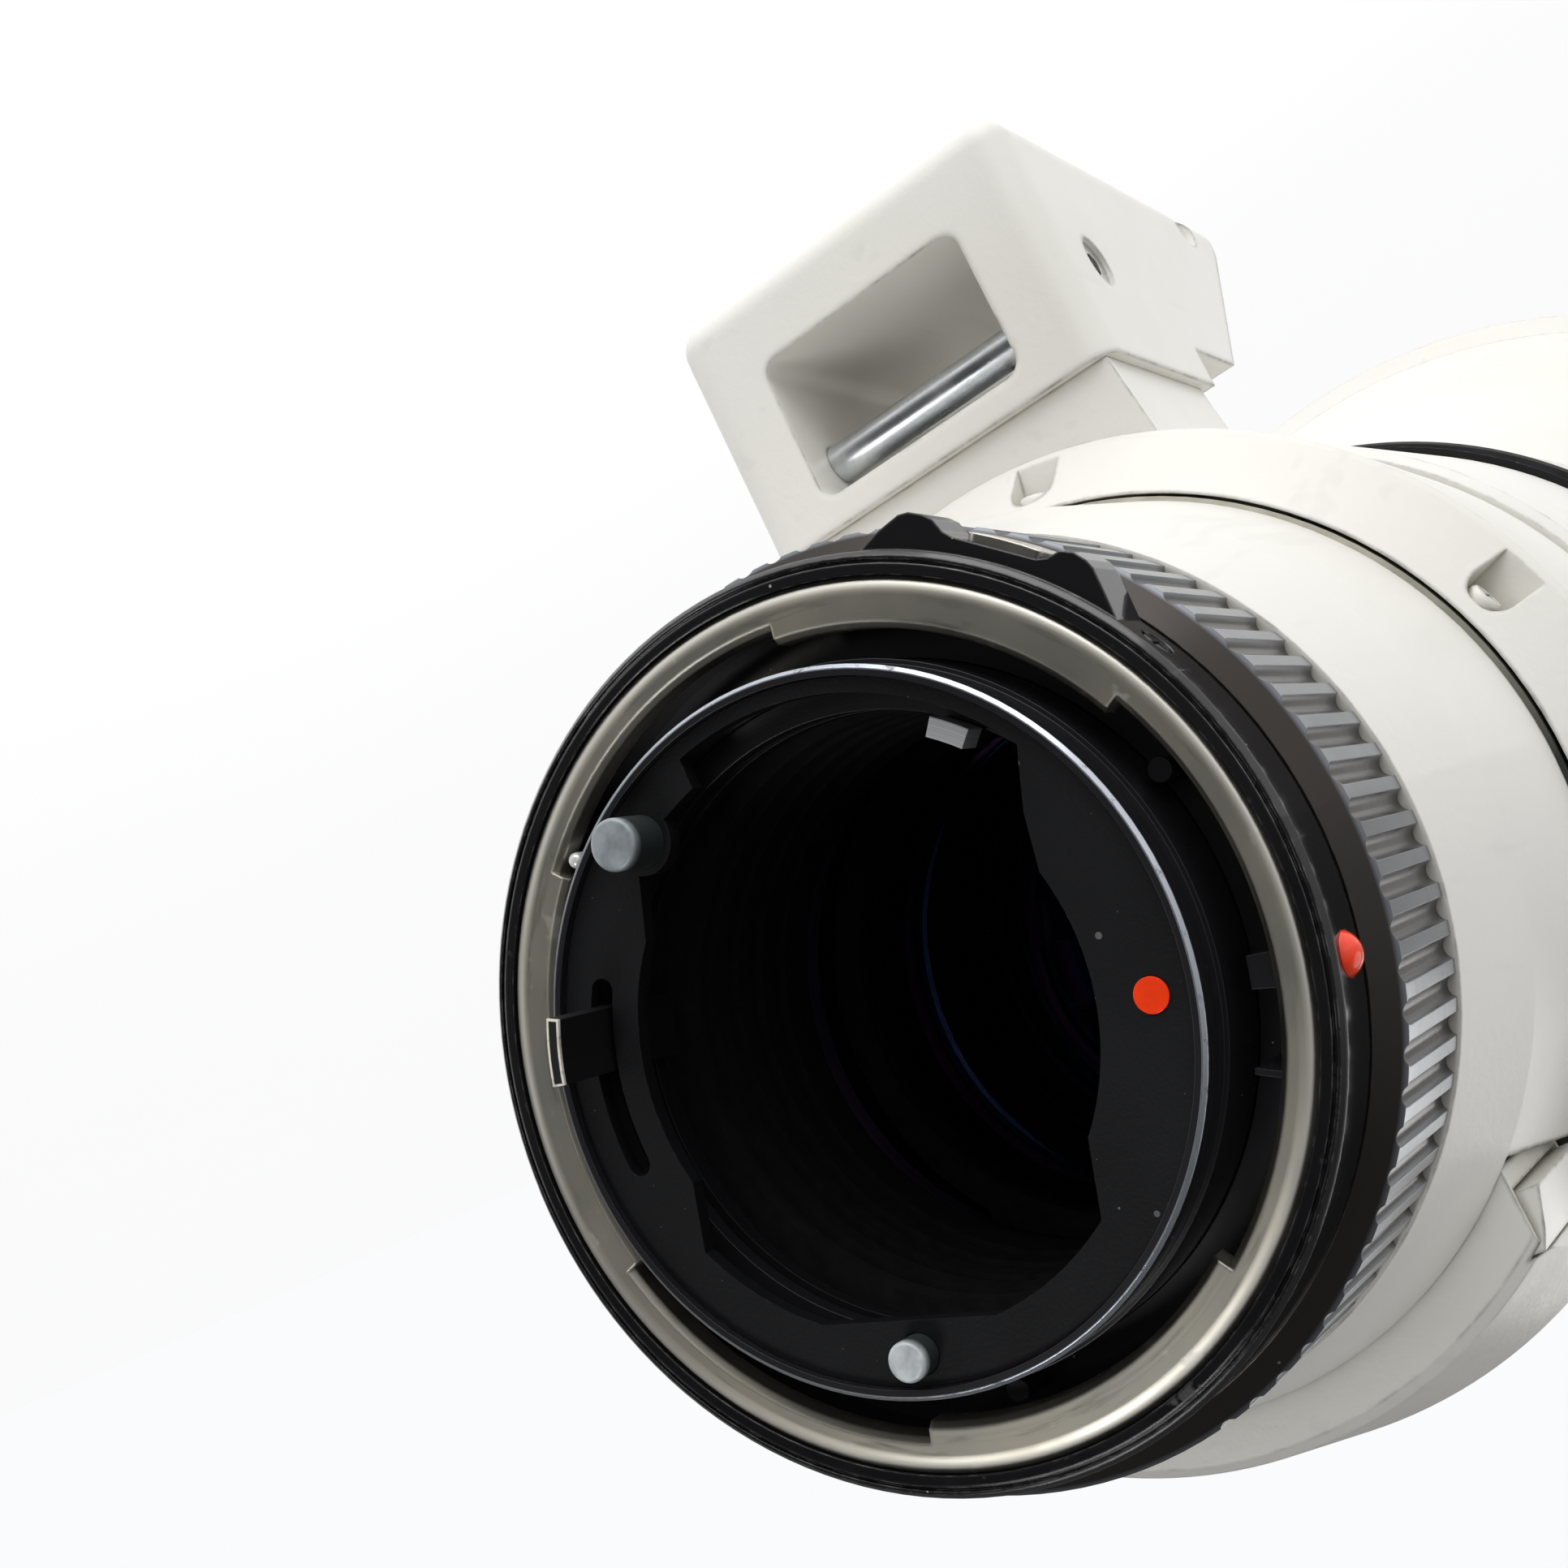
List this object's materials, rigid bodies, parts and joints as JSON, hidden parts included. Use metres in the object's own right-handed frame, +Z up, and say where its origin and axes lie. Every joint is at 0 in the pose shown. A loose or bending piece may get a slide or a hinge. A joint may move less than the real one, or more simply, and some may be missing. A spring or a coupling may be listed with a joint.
{
  "type": "telephoto lens",
  "caption": "Large white telephoto lens with a breech mount, fluted aperture ring, rear filter drawer, turning collar with a tripod foot, and a wide front drum.",
  "frame": {"origin": "centre of the mount's rear rim, on the optical axis", "axes": "+X forward along the optical axis, +Z up, tripod foot towards -Z"},
  "size_m": [0.3563, 0.166, 0.166],
  "materials": {
    "white_paint": "satin, lightly worn",
    "gloss_black": "gloss, scratched",
    "black_anodised": "matte anodised",
    "textured_black": "fine wrinkle texture",
    "flat_black": "flat",
    "steel": "turned, worn",
    "nickel": "bright nickel",
    "blade_steel": "dark, dry",
    "cell_aluminium": "matte",
    "red_enamel": "gloss",
    "rubber": "ribbed, matte",
    "lining": "slippery, matte",
    "coated_glass": "coated"
  },
  "bodies": {
    "stand": {"collar_ring": "white_paint", "collar_screws": "steel", "collar_lining": "lining", "strap_lugs": "steel", "foot_block": "white_paint", "foot_rail": "steel", "foot_screws": "steel", "foot_cross_bolt": "steel", "tripod_bushes": "steel"},
    "collar_knob": {"collar_lock_knob": "black_anodised", "collar_lock_stud": "steel"},
    "barrel": {"mount_band": "gloss_black", "breech_ring": "steel", "mount_base": "black_anodised", "channel_stops": "steel", "index_dome": "red_enamel", "band_screws": "nickel", "rear_tube": "white_paint", "rear_baffle": "flat_black", "main_tube": "cell_aluminium", "mid_shell": "white_paint", "cone_barrel": "white_paint", "front_drum": "white_paint", "front_ring": "black_anodised", "front_cell": "flat_black", "front_spacer": "flat_black", "front_retainers": "flat_black", "front_element_1": "coated_glass", "front_element_2": "coated_glass", "front_element_3": "coated_glass", "rear_cell": "flat_black", "rear_elements": "coated_glass", "iris_housing": "cell_aluminium"},
    "lock_button": {"lock_button": "nickel"},
    "aperture_ring": {"aperture_ring": "black_anodised"},
    "inner_mount": {"mount_tube": "black_anodised", "mount_plate": "textured_black", "index_dot": "red_enamel", "full_aperture_pin": "nickel"},
    "program_pin": {"program_pin": "nickel"},
    "signal_lever": {"signal_lever": "nickel"},
    "stopdown_lever": {"stopdown_lever": "nickel"},
    "iris_ring": {"iris_ring": "cell_aluminium"},
    "drawer": {"drawer_cover": "white_paint", "drawer_frame": "flat_black", "drop_in_filter": "coated_glass"},
    "drawer_latch_left": {"drawer_latch_left": "white_paint"},
    "drawer_latch_right": {"drawer_latch_right": "white_paint"},
    "focus_ring": {"focus_ring": "black_anodised", "focus_grip": "rubber"},
    "focus_group": {"focus_cell": "cell_aluminium", "focus_elements": "coated_glass"},
    "iris_blade_1": {"iris_blade_1": "blade_steel"},
    "iris_blade_2": {"iris_blade_2": "blade_steel"},
    "iris_blade_3": {"iris_blade_3": "blade_steel"},
    "iris_blade_4": {"iris_blade_4": "blade_steel"},
    "iris_blade_5": {"iris_blade_5": "blade_steel"},
    "iris_blade_6": {"iris_blade_6": "blade_steel"},
    "iris_blade_7": {"iris_blade_7": "blade_steel"},
    "iris_blade_8": {"iris_blade_8": "blade_steel"}
  },
  "joints": [
    {"name": "collar_turn", "type": "hinge", "parent": "stand", "child": "barrel", "pos_m": [0.068, 0, 0], "axis": [1, 0, 0], "continuous": true},
    {"name": "collar_knob_turn", "type": "hinge", "parent": "stand", "child": "collar_knob", "pos_m": [0.07, -0.04505, -0.03155], "axis": [0, -0.8192, -0.5736], "range_deg": [0, 270]},
    {"name": "lock_button_press", "type": "slide", "parent": "barrel", "child": "lock_button", "axis": [0, -0.6959, 0.7181], "range_m": [0, 0.0009], "stiffness_N_per_m": 600},
    {"name": "aperture_ring_turn", "type": "hinge", "parent": "barrel", "child": "aperture_ring", "pos_m": [0.0125, 0, 0], "axis": [-1, 0, 0], "range_deg": [0, 72]},
    {"name": "mount_turn", "type": "hinge", "parent": "barrel", "child": "inner_mount", "pos_m": [0, 0, 0], "axis": [1, 0, 0], "range_deg": [0, 71]},
    {"name": "program_pin_slide", "type": "slide", "parent": "inner_mount", "child": "program_pin", "axis": [1, 0, 0], "range_m": [0, 0.0016], "stiffness_N_per_m": 150},
    {"name": "signal_lever_turn", "type": "hinge", "parent": "inner_mount", "child": "signal_lever", "pos_m": [0.003, 0, 0], "axis": [-1, 0, 0], "range_deg": [0, 47]},
    {"name": "stopdown_lever_swing", "type": "hinge", "parent": "inner_mount", "child": "stopdown_lever", "pos_m": [0.005, 0, 0], "axis": [-1, 0, 0], "range_deg": [0, 17], "stiffness_Nm_per_rad": 0.02},
    {"name": "iris_ring_turn", "type": "hinge", "parent": "barrel", "child": "iris_ring", "pos_m": [0.0676, 0, 0], "axis": [-1, 0, 0], "range_deg": [0, 17]},
    {"name": "drawer_slide", "type": "slide", "parent": "barrel", "child": "drawer", "axis": [0, 0, 1], "range_m": [0, 0.064]},
    {"name": "drawer_latch_left_press", "type": "slide", "parent": "drawer", "child": "drawer_latch_left", "axis": [0, -1, 0], "range_m": [0, 0.001], "stiffness_N_per_m": 800},
    {"name": "drawer_latch_right_press", "type": "slide", "parent": "drawer", "child": "drawer_latch_right", "axis": [0, 1, 0], "range_m": [0, 0.001], "stiffness_N_per_m": 800},
    {"name": "focus_ring_turn", "type": "hinge", "parent": "barrel", "child": "focus_ring", "pos_m": [0.1415, 0, 0], "axis": [1, 0, 0], "range_deg": [0, 150]},
    {"name": "focus_group_slide", "type": "slide", "parent": "barrel", "child": "focus_group", "axis": [1, 0, 0], "range_m": [0, 0.013]},
    {"name": "iris_blade_1_swing", "type": "hinge", "parent": "barrel", "child": "iris_blade_1", "pos_m": [0.0635, 0.0303, 0], "axis": [1, 0, 0], "range_deg": [0, 37.5]},
    {"name": "iris_blade_2_swing", "type": "hinge", "parent": "barrel", "child": "iris_blade_2", "pos_m": [0.0635, 0.02142, 0.02142], "axis": [1, 0, 0], "range_deg": [0, 37.5]},
    {"name": "iris_blade_3_swing", "type": "hinge", "parent": "barrel", "child": "iris_blade_3", "pos_m": [0.0635, 0, 0.0303], "axis": [1, 0, 0], "range_deg": [0, 37.5]},
    {"name": "iris_blade_4_swing", "type": "hinge", "parent": "barrel", "child": "iris_blade_4", "pos_m": [0.0635, -0.02142, 0.02142], "axis": [1, 0, 0], "range_deg": [0, 37.5]},
    {"name": "iris_blade_5_swing", "type": "hinge", "parent": "barrel", "child": "iris_blade_5", "pos_m": [0.0635, -0.0303, 0], "axis": [1, 0, 0], "range_deg": [0, 37.5]},
    {"name": "iris_blade_6_swing", "type": "hinge", "parent": "barrel", "child": "iris_blade_6", "pos_m": [0.0635, -0.02142, -0.02142], "axis": [1, 0, 0], "range_deg": [0, 37.5]},
    {"name": "iris_blade_7_swing", "type": "hinge", "parent": "barrel", "child": "iris_blade_7", "pos_m": [0.0635, 0, -0.0303], "axis": [1, 0, 0], "range_deg": [0, 37.5]},
    {"name": "iris_blade_8_swing", "type": "hinge", "parent": "barrel", "child": "iris_blade_8", "pos_m": [0.0635, 0.02142, -0.02142], "axis": [1, 0, 0], "range_deg": [0, 37.5]}
  ],
  "couplings": [
    {"joint": "signal_lever_turn", "follows": "aperture_ring_turn", "ratio": 0.65278},
    {"joint": "iris_ring_turn", "follows": "stopdown_lever_swing", "ratio": 1},
    {"joint": "focus_group_slide", "follows": "focus_ring_turn", "m_per_rad": 0.0049618},
    {"joint": "iris_blade_1_swing", "follows": "stopdown_lever_swing", "ratio": 2.2},
    {"joint": "iris_blade_2_swing", "follows": "stopdown_lever_swing", "ratio": 2.2},
    {"joint": "iris_blade_3_swing", "follows": "stopdown_lever_swing", "ratio": 2.2},
    {"joint": "iris_blade_4_swing", "follows": "stopdown_lever_swing", "ratio": 2.2},
    {"joint": "iris_blade_5_swing", "follows": "stopdown_lever_swing", "ratio": 2.2},
    {"joint": "iris_blade_6_swing", "follows": "stopdown_lever_swing", "ratio": 2.2},
    {"joint": "iris_blade_7_swing", "follows": "stopdown_lever_swing", "ratio": 2.2},
    {"joint": "iris_blade_8_swing", "follows": "stopdown_lever_swing", "ratio": 2.2}
  ]
}
